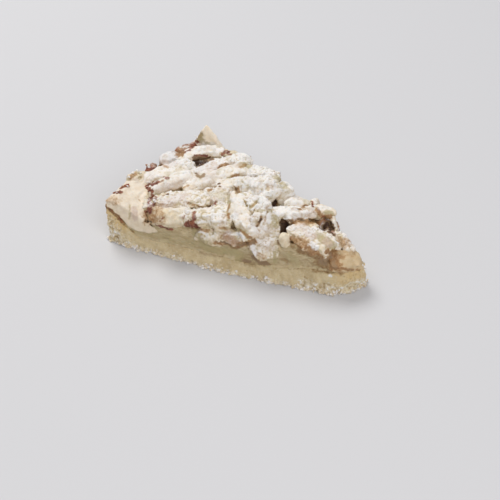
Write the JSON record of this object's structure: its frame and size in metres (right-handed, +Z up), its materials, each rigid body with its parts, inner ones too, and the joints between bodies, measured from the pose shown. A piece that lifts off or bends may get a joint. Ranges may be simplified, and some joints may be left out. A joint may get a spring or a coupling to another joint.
{
  "type": "slice of apple tart",
  "caption": "Cut slice of apple tart with a thick shortcrust base and rim, baked apple filling and a craggy sugared heap of apple pieces on top.",
  "frame": {"origin": "on the surface that the slice stands on, under the middle of its bounding box", "axes": "+X from the rim towards the nose of the slice, +Y towards the back cut side, +Z up"},
  "size_m": [0.1396, 0.077, 0.0435],
  "materials": {
    "crust": "pale golden baked shortcrust, dry and crumbly, browner at the rim's top",
    "filling": "moist, faintly translucent baked apple, khaki to light brown",
    "apple": "cream baked apple under a dusting of icing sugar",
    "browned_apple": "apple and skin baked red-brown, with some icing sugar"
  },
  "bodies": {
    "root": {"crust": "crust", "filling": "filling", "rim_slice": "apple", "rim_fin": "apple", "lump_middle": "apple", "lump_front": "apple", "lump_left": "apple", "lump_low": "apple", "plate_right": "apple", "lump_back_left": "apple", "lump_back_right": "apple", "slab_middle": "apple", "slab_upright": "apple", "hanging_slab": "apple", "finger_long": "apple", "finger_end": "apple", "back_mass": "apple", "back_edge_right": "apple", "back_edge_left": "browned_apple", "small_bridge": "apple", "tube_slice": "apple", "tube_end": "apple", "sugared_mass": "apple", "edge_wedge": "apple", "seed_piece": "apple", "edge_blob": "apple", "edge_chunk": "browned_apple", "hollow_chunk": "browned_apple", "long_slab": "apple", "small_chunk": "apple", "nose_bed": "apple", "nose_crescent": "apple", "nose_slice": "apple", "crusted_chunk": "apple", "front_slice": "apple", "olive_patch": "apple", "browned_chunk": "browned_apple", "finger": "apple", "back_strip": "apple", "strip_lump": "apple", "pale_slice": "apple", "arch_slice": "apple", "rim_ball": "apple", "rim_cube_back": "browned_apple", "rim_crumb": "browned_apple", "rim_cube_front": "browned_apple", "rim_bump": "browned_apple", "low_chunk_left": "apple", "low_chunk_right": "browned_apple", "back_chunk_left": "apple", "back_chunk_right": "apple"}
  },
  "joints": []
}
